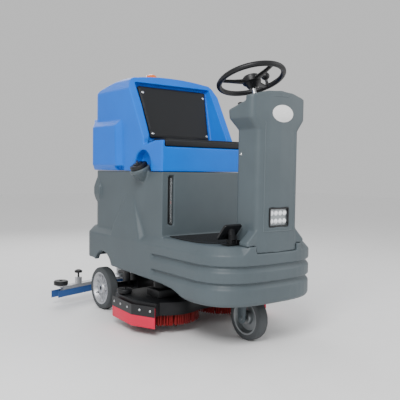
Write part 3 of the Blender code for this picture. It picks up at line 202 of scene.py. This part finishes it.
def make_materials():
    """One material for each slot in the record, and a few for the small fittings."""
    brushed = (1.0, 14.0, 1.0)
    return {
        "grey_plastic": material("grey_plastic", (0.078, 0.100, 0.112), 0.44, wear=0.35, grain=0.0005),
        "blue_plastic": material("blue_plastic", (0.000, 0.150, 0.720), 0.38, wear=0.12, grain=0.0004,
                                 mottle=0.04, specular=0.2),
        "mat_rubber": material("mat_rubber", (0.010, 0.012, 0.014), 0.80, grain=0.0008,
                               grain_scale=500.0),
        "black_vinyl": material("black_vinyl", (0.008, 0.009, 0.011), 0.55, grain=0.0009,
                                grain_scale=420.0, wear=0.2),
        "black_plastic": material("black_plastic", (0.007, 0.0075, 0.009), 0.40, wear=0.2),
        "headlight_lens": material("headlight_lens", (0.86, 0.88, 0.91), 0.12, grain=0.0, coat=0.6,
                                   mottle=0.1),
        "dark_screen": material("dark_screen", (0.015, 0.035, 0.045), 0.10, grain=0.0, coat=0.8),
        "red_plastic": material("red_plastic", (0.62, 0.02, 0.015), 0.35, grain=0.0002),
        "bright_steel": material("bright_steel", (0.62, 0.63, 0.64), 0.28, 1.0, streak=brushed),
        "black_steel": material("black_steel", (0.008, 0.0085, 0.010), 0.38, 0.3, grain=0.0006, wear=0.3),
        "grey_steel": material("grey_steel", (0.26, 0.28, 0.29), 0.40, 0.7, wear=0.4, streak=brushed),
        "cast_aluminium": material("cast_aluminium", (0.50, 0.51, 0.53), 0.42, 0.8, grain=0.0009,
                                   grain_scale=350.0, wear=0.3),
        "grey_tyre": material("grey_tyre", (0.060, 0.066, 0.070), 0.72, grain=0.0006, mottle=0.12, wear=0.3),
        "clear_plastic": material("clear_plastic", (0.55, 0.58, 0.60), 0.10, grain=0.0, transmission=0.85),
        "filter_bowl": material("filter_bowl", (0.30, 0.36, 0.40), 0.15, grain=0.0, transmission=0.6),
        "battery_case": material("battery_case", (0.030, 0.032, 0.036), 0.55),
        "orange_lens": material("orange_lens", (0.88, 0.16, 0.01), 0.18, grain=0.0, coat=0.7),
        "pink_urethane": material("pink_urethane", (0.72, 0.012, 0.060), 0.42, mottle=0.05, wear=0.1,
                                  specular=0.2),
        "red_bristle": material("red_bristle", (0.20, 0.004, 0.004), 0.60, mottle=0.35,
                                grain_scale=1500.0),
        "blue_rubber": material("blue_rubber", (0.020, 0.080, 0.260), 0.55, wear=0.15),
        "badge_white": material("badge_white", (0.80, 0.80, 0.80), 0.28, grain=0.0, coat=0.5),
    }


# ---------------------------------------------------------------- mesh tools
def new_object(name, bm, smooth_angle=38.0):
    """Object made from a bmesh in the frame's own coordinates."""
    bmesh.ops.recalc_face_normals(bm, faces=bm.faces)
    mesh = bpy.data.meshes.new(name)
    bm.to_mesh(mesh)
    bm.free()
    mesh.shade_smooth()
    mesh.set_sharp_from_angle(angle=math.radians(smooth_angle))
    obj = bpy.data.objects.new(name, mesh)
    bpy.context.scene.collection.objects.link(obj)
    return obj


def finish(obj, body, slot, *nodes, look=None):
    """Give a piece its body, its material and the CAD nodes that it stands for."""
    obj.data.materials.clear()
    obj.data.materials.append(MATERIALS[look or slot])
    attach(obj, body)
    if nodes:
        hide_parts(*nodes)
    return obj


def baked(obj):
    """Apply every modifier of a piece."""
    bpy.context.view_layer.update()
    shape = bpy.data.meshes.new_from_object(obj.evaluated_get(bpy.context.evaluated_depsgraph_get()))
    obj.modifiers.clear()
    obj.data = shape
    return obj


def copied(node, name):
    """A loose copy of a CAD node's mesh."""
    obj = bpy.data.objects.new(name, NODES[node].data.copy())
    bpy.context.scene.collection.objects.link(obj)
    return obj


def moulded(node, voxel=CASING_VOXEL, rounds=8):
    """Casing with soft moulded edges in place of the CAD node's sharp ones."""
    obj = copied(node, node + "_shell")
    remesh = obj.modifiers.new("remesh", "REMESH")
    remesh.mode = "VOXEL"
    remesh.voxel_size = voxel
    smooth = obj.modifiers.new("smooth", "SMOOTH")
    smooth.factor = 0.5
    smooth.iterations = rounds
    baked(obj)
    obj.data.shade_smooth()
    return finish(obj, BODY_OF[node], SLOTS[node], node)


def bevelled(node, width=0.0015, segments=2, look=None):
    """Small part with its flat facets merged and its edges rounded."""
    bm = bmesh.new()
    bm.from_mesh(NODES[node].data)
    bmesh.ops.remove_doubles(bm, verts=bm.verts, dist=MERGE_DISTANCE)
    bmesh.ops.dissolve_limit(bm, angle_limit=FLAT_ANGLE, verts=bm.verts, edges=bm.edges)
    obj = new_object(node + "_part", bm)
    bevel = obj.modifiers.new("bevel", "BEVEL")
    bevel.width = width
    bevel.segments = segments
    bevel.limit_method = "ANGLE"
    bevel.angle_limit = math.radians(40)
    bevel.use_clamp_overlap = True
    baked(obj)
    obj.data.shade_smooth()
    obj.data.set_sharp_from_angle(angle=math.radians(30))
    return finish(obj, BODY_OF[node], SLOTS[node], node, look=look)


def frame_at(centre, axis):
    """Matrix whose Z axis lies along axis, at centre."""
    return Matrix.Translation(Vector(centre)) @ Vector(axis).to_track_quat("Z", "Y").to_matrix().to_4x4()


def lathe(bm, profile, place, segments=ROUND_SEGMENTS, closed=False):
    """Add a turned (radius, height) profile to a bmesh."""
    rows = []
    for step in range(segments):
        angle = 2 * math.pi * step / segments
        rows.append([bm.verts.new(place @ Vector((r * math.cos(angle), r * math.sin(angle), h)))
                     for r, h in profile])
    spans = len(profile) if closed else len(profile) - 1
    for step in range(segments):
        here, ahead = rows[step], rows[(step + 1) % segments]
        for i in range(spans):
            j = (i + 1) % len(profile)
            bm.faces.new((here[i], ahead[i], ahead[j], here[j]))
    bmesh.ops.remove_doubles(bm, verts=bm.verts, dist=MERGE_DISTANCE)
    return bm


def loft(bm, rings):
    """Skin rings of equal length and cap the ends."""
    rows = [[bm.verts.new(point) for point in ring] for ring in rings]
    count = len(rows[0])
    for lower, upper in zip(rows, rows[1:]):
        for i in range(count):
            j = (i + 1) % count
            bm.faces.new((lower[i], lower[j], upper[j], upper[i]))
    bm.faces.new(list(reversed(rows[0])))
    bm.faces.new(rows[-1])
    return bm


def dome_screw(bm, place, radius, height):
    """Domed screw head with a socket."""
    profile = [(0.0, height * 0.45), (radius * 0.42, height * 0.45), (radius * 0.45, height * 0.95),
               (radius * 0.75, height * 0.8), (radius, height * 0.3), (radius, 0.0), (0.0, 0.0)]
    return lathe(bm, profile, place, 24)


# ---------------------------------------------------------------- wheels
def wheel_pieces(tyre, rim, joint, spokes):
    """Round tyre with a rounded shoulder, and a dished rim with ribs."""
    low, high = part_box(tyre)
    centre = Vector(JOINTS[joint]["pos_m"])
    radius = centre.z - low.z
    half = (high.x - low.x) / 2
    place = frame_at(centre, (1, 0, 0))
    bead = radius * (0.764 if spokes else 0.76)
    outline = [(bead, -half)]
    for step in range(9):
        angle = math.radians(-90 + 90 * step / 8)
        outline.append((radius - 0.012 + 0.012 * math.cos(angle), -half + 0.012 + 0.012 * math.sin(angle)))
    outline += [(r, -h) for r, h in reversed(outline)]
    bm = lathe(bmesh.new(), outline, place, closed=True)
    finish(new_object(tyre + "_tread", bm), BODY_OF[tyre], SLOTS[tyre], tyre)

    edge = bead - 0.0006
    dish = [(0.013, -half + 0.004), (0.030, -half + 0.003), (0.034, -half + 0.008), (0.036, -0.008),
            (edge - 0.020, -0.006), (edge - 0.008, -half + 0.002), (edge, -half + 0.001),
            (edge, half - 0.001), (edge - 0.008, half - 0.002), (edge - 0.020, 0.006), (0.036, 0.008),
            (0.034, half - 0.008), (0.030, half - 0.003), (0.013, half - 0.004)]
    bm = lathe(bmesh.new(), dish, place, closed=True)
    for side in (-1, 1):
        for step in range(spokes):
            turn = place @ Matrix.Rotation(2 * math.pi * step / spokes, 4, "Z")
            rings = []
            for reach, wide, tall in ((0.032, 0.0035, half - 0.010), (edge - 0.012, 0.0025, half - 0.008)):
                rings.append([turn @ Vector((reach, dy, side * dz)) for dy, dz in
                              ((-wide, 0.004), (wide, 0.004), (wide * 0.6, tall), (-wide * 0.6, tall))])
            loft(bm, rings)
    finish(new_object(rim + "_disc", bm), BODY_OF[rim], SLOTS[rim], rim)


def make_wheels():
    """Three wheels."""
    wheel_pieces("rear_tyre_right", "rear_hub_right", "rear_right_spin", 12)
    wheel_pieces("rear_tyre_left", "rear_hub_left", "rear_left_spin", 12)
    wheel_pieces("front_tyre", "front_rim", "front_wheel_spin", 0)
    bm = bmesh.new()
    centre = Vector(JOINTS["front_wheel_spin"]["pos_m"])
    for side in (-1, 1):
        dome_screw(bm, frame_at(centre + Vector((side * 0.0527, 0, 0)), (side, 0, 0)), 0.009, 0.005)
    finish(new_object("front_axle_nuts", bm), "fork", "grey_steel")


# ---------------------------------------------------------------- steering wheel
def make_steering_wheel():
    """Rim, three spokes and hub, and the spinner knob."""
    joint = JOINTS["steering_turn"]
    place = frame_at(joint["pos_m"], joint["axis"])
    circle = [(RIM_RADIUS + RIM_TUBE * math.cos(a), RIM_TUBE * math.sin(a))
              for a in (2 * math.pi * step / 18 for step in range(18))]
    bm = lathe(bmesh.new(), circle, place, 96, closed=True)
    finish(new_object("steering_wheel_rim", bm), "steering", "black_plastic", "steering_wheel")

    hub = [(0.0, -0.051), (0.020, -0.051), (0.026, -0.046), (0.036, -0.026), (0.0465, -0.020),
           (0.0470, 0.004), (0.0455, 0.006), (0.041, 0.0065), (0.0405, 0.0125), (0.038, 0.0138),
           (0.014, 0.0138), (0.013, 0.0115), (0.0, 0.0115)]
    finish(new_object("steering_wheel_hub", lathe(bmesh.new(), hub, place, 64)), "steering", "black_plastic")

    centre = Vector(joint["pos_m"])
    tilt = Matrix.Translation(centre) @ Matrix.Rotation(-math.asin(joint["axis"][1]), 4, "X")
    bm = bmesh.new()
    for angle in SPOKE_ANGLES:
        turn = tilt @ Matrix.Rotation(math.radians(angle), 4, "Z")
        rings = []
        for reach, half, middle, thick in ((0.030, 0.026, -0.012, 0.0095), (0.062, 0.0205, -0.010, 0.0085),
                                           (0.100, 0.0165, -0.007, 0.0070), (0.135, 0.0145, -0.003, 0.0062),
                                           (RIM_RADIUS, 0.0140, 0.0, 0.0056)):
            rings.append([turn @ Vector((reach, half * math.cos(a), middle + thick * math.sin(a)))
                          for a in (2 * math.pi * step / 16 for step in range(16))])
        loft(bm, rings)
    finish(new_object("steering_wheel_spokes", bm), "steering", "black_plastic")

    seat = Vector(JOINTS["spinner_turn"]["pos_m"])
    knob = [(0.0, 0.0), (0.0074, 0.0), (0.0076, 0.012), (0.012, 0.016), (0.019, 0.022), (0.0225, 0.029),
            (0.0228, 0.036), (0.021, 0.043), (0.016, 0.049), (0.009, 0.0525), (0.0, 0.0529)]
    bm = lathe(bmesh.new(), knob, frame_at(seat, JOINTS["spinner_turn"]["axis"]), 40)
    finish(new_object("spinner_knob_ball", bm), "spinner", "black_plastic", "spinner_knob")
    stem = [(0.0, -0.022), (0.0115, -0.022), (0.0100, -0.010), (0.0080, -0.0008), (0.0, -0.0008)]
    bm = lathe(bmesh.new(), stem, frame_at(seat, joint["axis"]), 32)
    finish(new_object("spinner_knob_post", bm), "steering", "black_plastic")


# ---------------------------------------------------------------- column details
def oval(bm, centre, half_x, half_z, front, back, lip):
    """Low oval disc with a rounded lip, facing -Y."""
    rings = []
    for scale, y in ((1.0, back), (1.0, front + lip), (0.96, front), (0.0001, front)):
        rings.append([Vector((centre[0] + half_x * scale * math.cos(a), y,
                              centre[2] + half_z * scale * math.sin(a)))
                      for a in (2 * math.pi * step / 48 for step in range(48))])
    return loft(bm, rings)


def tube_along(bm, points, radius, closed=False, sides=10):
    """Thin bead of constant radius that follows points lying in a plane facing -Y."""
    rings = []
    count = len(points)
    for i, point in enumerate(points):
        before = points[i - 1] if closed or i else point
        after = points[(i + 1) % count] if closed or i < count - 1 else point
        along = (Vector(after) - Vector(before)).normalized()
        side = along.cross(Vector((0, -1, 0))).normalized()
        rings.append([Vector(point) + side * radius * math.cos(a) + Vector((0, -1, 0)) * radius * math.sin(a)
                      for a in (2 * math.pi * k / sides for k in range(sides))])
    if not closed:
        return loft(bm, rings)
    rows = [[bm.verts.new(p) for p in ring] for ring in rings]
    for i in range(count):
        for k in range(sides):
            m = (k + 1) % sides
            bm.faces.new((rows[i][k], rows[i][m], rows[(i + 1) % count][m], rows[(i + 1) % count][k]))
    return bm


def column_front(x):
    """Y of the column's crowned front at a given X."""
    low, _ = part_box("column_cover")
    return low.y + COLUMN_CROWN * (x / COLUMN_HALF_WIDTH) ** 2


def make_column_details():
    """Raised border, blank badge, lamp bezel with its cells, and a side button."""
    border = [(-0.094, 0.573), (0.104, 0.573), (0.104, 1.080), (0.150, 1.130), (0.150, 1.185), (0.080, 1.205),
              (0.0, 1.211), (-0.080, 1.205), (-0.146, 1.185), (-0.146, 1.130), (-0.094, 1.080)]
    fine = []
    for i, (x, z) in enumerate(border):
        nx, nz = border[(i + 1) % len(border)]
        steps = max(2, int(math.hypot(nx - x, nz - z) / 0.02))
        fine += [(x + (nx - x) * k / steps, z + (nz - z) * k / steps) for k in range(steps)]
    path = [Vector((x, column_front(x) + 0.0024, z)) for x, z in fine]
    bm = tube_along(bmesh.new(), path, BEAD_RADIUS, closed=True)
    finish(new_object("column_border", bm), "machine", "grey_plastic")

    badge_y = column_front(0.0)
    bm = oval(bmesh.new(), (0.010, 0, 1.128), 0.067, 0.0405, badge_y - 0.0012, badge_y + 0.004, 0.001)
    finish(new_object("blank_badge", bm), "machine", "grey_plastic", look="badge_white")

    low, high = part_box("headlight")
    middle = (low + high) / 2
    half_x, half_z = (high.x - low.x) / 2, (high.z - low.z) / 2
    corners = [(-half_x, -half_z), (half_x, -half_z), (half_x, half_z), (-half_x, half_z)]
    path = []
    for i, (x, z) in enumerate(corners):
        nx, nz = corners[(i + 1) % 4]
        path += [Vector((middle.x + x + (nx - x) * k / 6, low.y + 0.0035, middle.z + z + (nz - z) * k / 6))
                 for k in range(6)]
    bm = tube_along(bmesh.new(), path, BEAD_RADIUS, closed=True)
    finish(new_object("headlight_bezel", bm), "machine", "black_plastic")
    bm = bmesh.new()
    back = low.y + 0.0100
    loft(bm, [[Vector((middle.x + sx * (half_x - 0.001), y, middle.z + sz * (half_z - 0.001)))
               for sx, sz in ((-1, -1), (1, -1), (1, 1), (-1, 1))] for y in (back, high.y)])
    finish(new_object("headlight_reflector", bm), "machine", "headlight_lens", "headlight", look="grey_steel")
    bm = bmesh.new()
    for column in range(4):
        for row in range(2):
            x = middle.x + (column - 1.5) * half_x * 0.47
            z = middle.z + (row - 0.5) * half_z * 0.94
            cell = frame_at((x, back - 0.0003, z), (0, -1, 0))
            lathe(bm, [(0.0, 0.0075), (0.005, 0.0070), (0.0085, 0.0050), (0.0120, 0.0015), (0.0135, 0.0),
                       (0.0, 0.0)], cell, 8)
    finish(new_object("headlight_cells", bm), "machine", "headlight_lens")

    bm = dome_screw(bmesh.new(), frame_at((-0.1342, -0.667, 0.935), (-1, 0, 0)), 0.007, 0.004)
    finish(new_object("column_side_button", bm), "machine", "bright_steel")


# ---------------------------------------------------------------- cushions
def cushion(node, name, cap, rest_axis, rest_side):
    """Pad swollen by a short cloth simulation, flat on the side that it rests on."""
    obj = copied(node, name)
    low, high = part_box(node)
    middle = (low + high) / 2
    for vertex in obj.data.vertices:
        vertex.co = middle + (vertex.co - middle) * 0.985
    remesh = obj.modifiers.new("remesh", "REMESH")
    remesh.mode = "VOXEL"
    remesh.voxel_size = CUSHION_VOXEL
    smooth = obj.modifiers.new("smooth", "SMOOTH")
    smooth.iterations = 4
    baked(obj)
    start = [vertex.co.copy() for vertex in obj.data.vertices]
    cloth = obj.modifiers.new("cloth", "CLOTH")
    cloth.settings.use_pressure = True
    cloth.settings.uniform_pressure_force = 4.0
    cloth.settings.effector_weights.gravity = 0.0
    for step in range(1, CLOTH_FRAMES + 1):
        bpy.context.scene.frame_set(step)
    swollen = obj.evaluated_get(bpy.context.evaluated_depsgraph_get()).data
    moved = [vertex.co.copy() for vertex in swollen.vertices]
    obj.modifiers.clear()
    for vertex, before, after in zip(obj.data.vertices, start, moved):
        shift = after - before
        if shift.length > cap:
            shift = shift.normalized() * cap
        if shift[rest_axis] * rest_side > 0:
            shift[rest_axis] = 0.0
        vertex.co = before + shift
    bpy.context.scene.frame_set(1)
    level = obj.modifiers.new("level", "SUBSURF")
    level.levels = 1
    level.render_levels = 1
    baked(obj)
    obj.data.shade_smooth()
    finish(obj, BODY_OF[node], "black_vinyl", node)
    return obj


def make_cushions():
    """Seat pad and backrest, with the backrest's four steel studs."""
    cushion("seat_cushion", "seat_pad", CUSHION_SWELL, 2, -1)
    cushion("back_cushion", "back_pad", CUSHION_SWELL, 1, 1)
    low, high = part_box("back_cushion")
    lean = Vector((0, -(high.z - low.z), BACKREST_LEAN)).normalized()
    bm = bmesh.new()
    for side in (-1, 1):
        for along, reach in ((0.10, 0.192), (0.86, 0.215)):
            point = Vector((side * reach, BACKREST_FOOT_Y + BACKREST_LEAN * along - STUD_SINK,
                            BACKREST_FOOT_Z + BACKREST_RISE * along))
            dome_screw(bm, frame_at(point, lean), 0.0085, 0.0045)
    finish(new_object("backrest_studs", bm), "tank", "bright_steel")


# ---------------------------------------------------------------- brush deck
def make_brushes():
    """Each brush is a round block with rings of tufts."""
    source = random.Random(4)
    for side in ("right", "left"):
        node = "brush_" + side
        low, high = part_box(node)
        centre = Vector(((low.x + high.x) / 2, (low.y + high.y) / 2, 0.0))
        radius = (high.x - low.x) / 2
        place = Matrix.Translation(centre)
        plate = [(0.0, 0.120), (radius - 0.008, 0.120), (radius - 0.006, 0.124), (radius - 0.010, 0.146),
                 (0.044, 0.148), (0.036, 0.152), (0.036, 0.160), (0.0, 0.160)]
        bm = lathe(bmesh.new(), plate, place, 64)
        finish(new_object(node + "_block", bm), BODY_OF[node], "red_bristle", node, look="black_plastic")
        bm = bmesh.new()
        for reach in BRISTLE_RINGS:
            count = int(2 * math.pi * reach / TUFT_SPACING)
            for step in range(count):
                angle = 2 * math.pi * (step + 0.5 * source.random()) / count
                out = Vector((math.cos(angle), math.sin(angle), 0.0))
                flare = min(0.006, radius - reach - 0.0045)
                rings = []
                for z, size, shift in ((BRISTLE_TOP_Z, 0.0036, 0.0), (0.085, 0.0042, flare * 0.4),
                                       (low.z + 0.0015 * source.random(), 0.0048, flare)):
                    middle = centre + out * (reach + shift) + Vector((0, 0, z))
                    rings.append([middle + Vector((size * math.cos(a), size * math.sin(a), 0.0))
                                  for a in (2 * math.pi * k / 7 for k in range(7))])
                loft(bm, rings)
        finish(new_object(node + "_tufts", bm), BODY_OF[node], "red_bristle")


def make_deck_details():
    """Black skirt holders with their steel bolts."""
    for sign, side in ((-1, "right"), (1, "left")):
        outer, back = SKIRT_OUTER, SKIRT_BACK
        bm = bmesh.new()
        for (ax, ay), (bx, by), (cx, cy), (dx, dy) in ((outer[0], outer[1], back[1], back[0]),
                                                       (outer[1], outer[2], back[2], back[1])):
            ring = [(ax, ay), (bx, by), (cx, cy), (dx, dy)]
            loft(bm, [[Vector((sign * x, y, z)) for x, y in ring] for z in SKIRT_Z])
        finish(new_object("skirt_holder_" + side, bm), "deck", "black_steel")
        bm = bmesh.new()
        for t in (0.12, 0.45, 0.80):
            x = outer[0][0] + (outer[1][0] - outer[0][0]) * t
            y = outer[0][1] + (outer[1][1] - outer[0][1]) * t
            dome_screw(bm, frame_at((sign * x, y, BOLT_Z), (sign, 0.06, 0)), 0.0065, 0.004)
        for t in (0.35, 0.80):
            x = outer[1][0] + (outer[2][0] - outer[1][0]) * t
            y = outer[1][1] + (outer[2][1] - outer[1][1]) * t
            dome_screw(bm, frame_at((sign * x, y, BOLT_Z), (sign * 0.91, -0.41, 0)), 0.0065, 0.004)
        finish(new_object("skirt_bolts_" + side, bm), "deck", "bright_steel")


# ---------------------------------------------------------------- floor and sight tube
def make_mat():
    """Fine ribs across the driver's mat."""
    low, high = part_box("floor_mat")
    bm = bmesh.new()
    bm.from_mesh(NODES["floor_mat"].data)
    bmesh.ops.remove_doubles(bm, verts=bm.verts, dist=MERGE_DISTANCE)
    bmesh.ops.dissolve_limit(bm, angle_limit=FLAT_ANGLE, verts=bm.verts, edges=bm.edges)
    bmesh.ops.translate(bm, verts=[v for v in bm.verts if v.co.z > high.z - 1e-4], vec=(0, 0, -0.0015))
    finish(new_object("floor_mat_sheet", bm), "machine", "mat_rubber", "floor_mat")
    bm = bmesh.new()
    y = low.y + 0.012
    while y < high.y - 0.008:
        reach = 0.262 if y > -0.50 else 0.262 - 0.45 * (-0.50 - y)
        rings = [[Vector((x, y + dy, z)) for dy, z in ((-0.003, high.z - 0.0016), (0.003, high.z - 0.0016),
                                                      (0.0018, high.z), (-0.0018, high.z))]
                 for x in (-reach, reach)]
        loft(bm, rings)
        y += RIB_PITCH
    finish(new_object("floor_mat_ribs", bm), "machine", "mat_rubber")


def make_sight_tube():
    """Black elbows at both ends of the sight tube, and a thin black sheet behind it as painted shade of the slot
    it sits in.
    """
    low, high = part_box("level_tube")
    x, y = (low.x + high.x) / 2, (low.y + high.y) / 2
    bm = bmesh.new()
    for end, way in ((low.z, -1), (high.z, 1)):
        profile = [(0.0, 0.0005), (0.0075, 0.0005), (0.0085, 0.003), (0.0085, 0.009), (0.0, 0.010)]
        lathe(bm, profile, frame_at((x, y, end), (0, 0, way)), 20)
    finish(new_object("sight_tube_elbows", bm), "machine", "black_plastic")
    # Painted shade: a thin black sheet behind the tube stands for the shadow inside the slot that holds it.
    back = [Vector((x + sx * 0.0165, high.y + 0.0012, z)) for sx, z in
            ((-1, low.z - 0.004), (1, low.z - 0.004), (1, high.z + 0.004), (-1, high.z + 0.004))]
    bm = loft(bmesh.new(), [back, [point + Vector((0, 0.0012, 0)) for point in back]])
    finish(new_object("sight_tube_painted_shade_sheet", bm), "machine", "black_plastic")


# ---------------------------------------------------------------- everything
MATERIALS = make_materials()
make_camera()
make_studio()

for casing, rounds in (("lower_body", 4), ("column_cover", 4), ("recovery_tank", 8)):
    moulded(casing, rounds=rounds)
make_wheels()
make_steering_wheel()
make_column_details()
make_cushions()
make_brushes()
make_deck_details()
make_mat()
make_sight_tube()
for small in ("accelerator_pedal", "control_panel", "filler_cap", "emergency_stop", "speed_knob",
              "key_switch", "direction_switch", "display_meter", "squeegee_bar", "squeegee_arm",
              "squeegee_hitch", "deck_housing", "side_skirt_right", "side_skirt_left", "tank_lid",
              "squeegee_knob_right", "squeegee_knob_left", "deck_roller_right", "deck_roller_left",
              "squeegee_roller_right", "squeegee_roller_left", "battery_right", "battery_left",
              "controller_box", "chassis_frame"):
    bevelled(small, SKIRT_BEVEL if small.startswith("side_skirt") else SMALL_BEVEL)
for motor in ("brush_motor_right", "brush_motor_left"):
    bevelled(motor, MOTOR_BEVEL, look="black_steel")
bevelled("front_fork", SMALL_BEVEL, look="grey_plastic")
bevelled("pedal_bracket", SMALL_BEVEL, look="black_steel")
bevelled("transaxle", SMALL_BEVEL, look="black_steel")
for node, obj in NODES.items():
    if not obj.hide_render:
        obj.data.materials.clear()
        obj.data.materials.append(MATERIALS[SLOTS[node]])
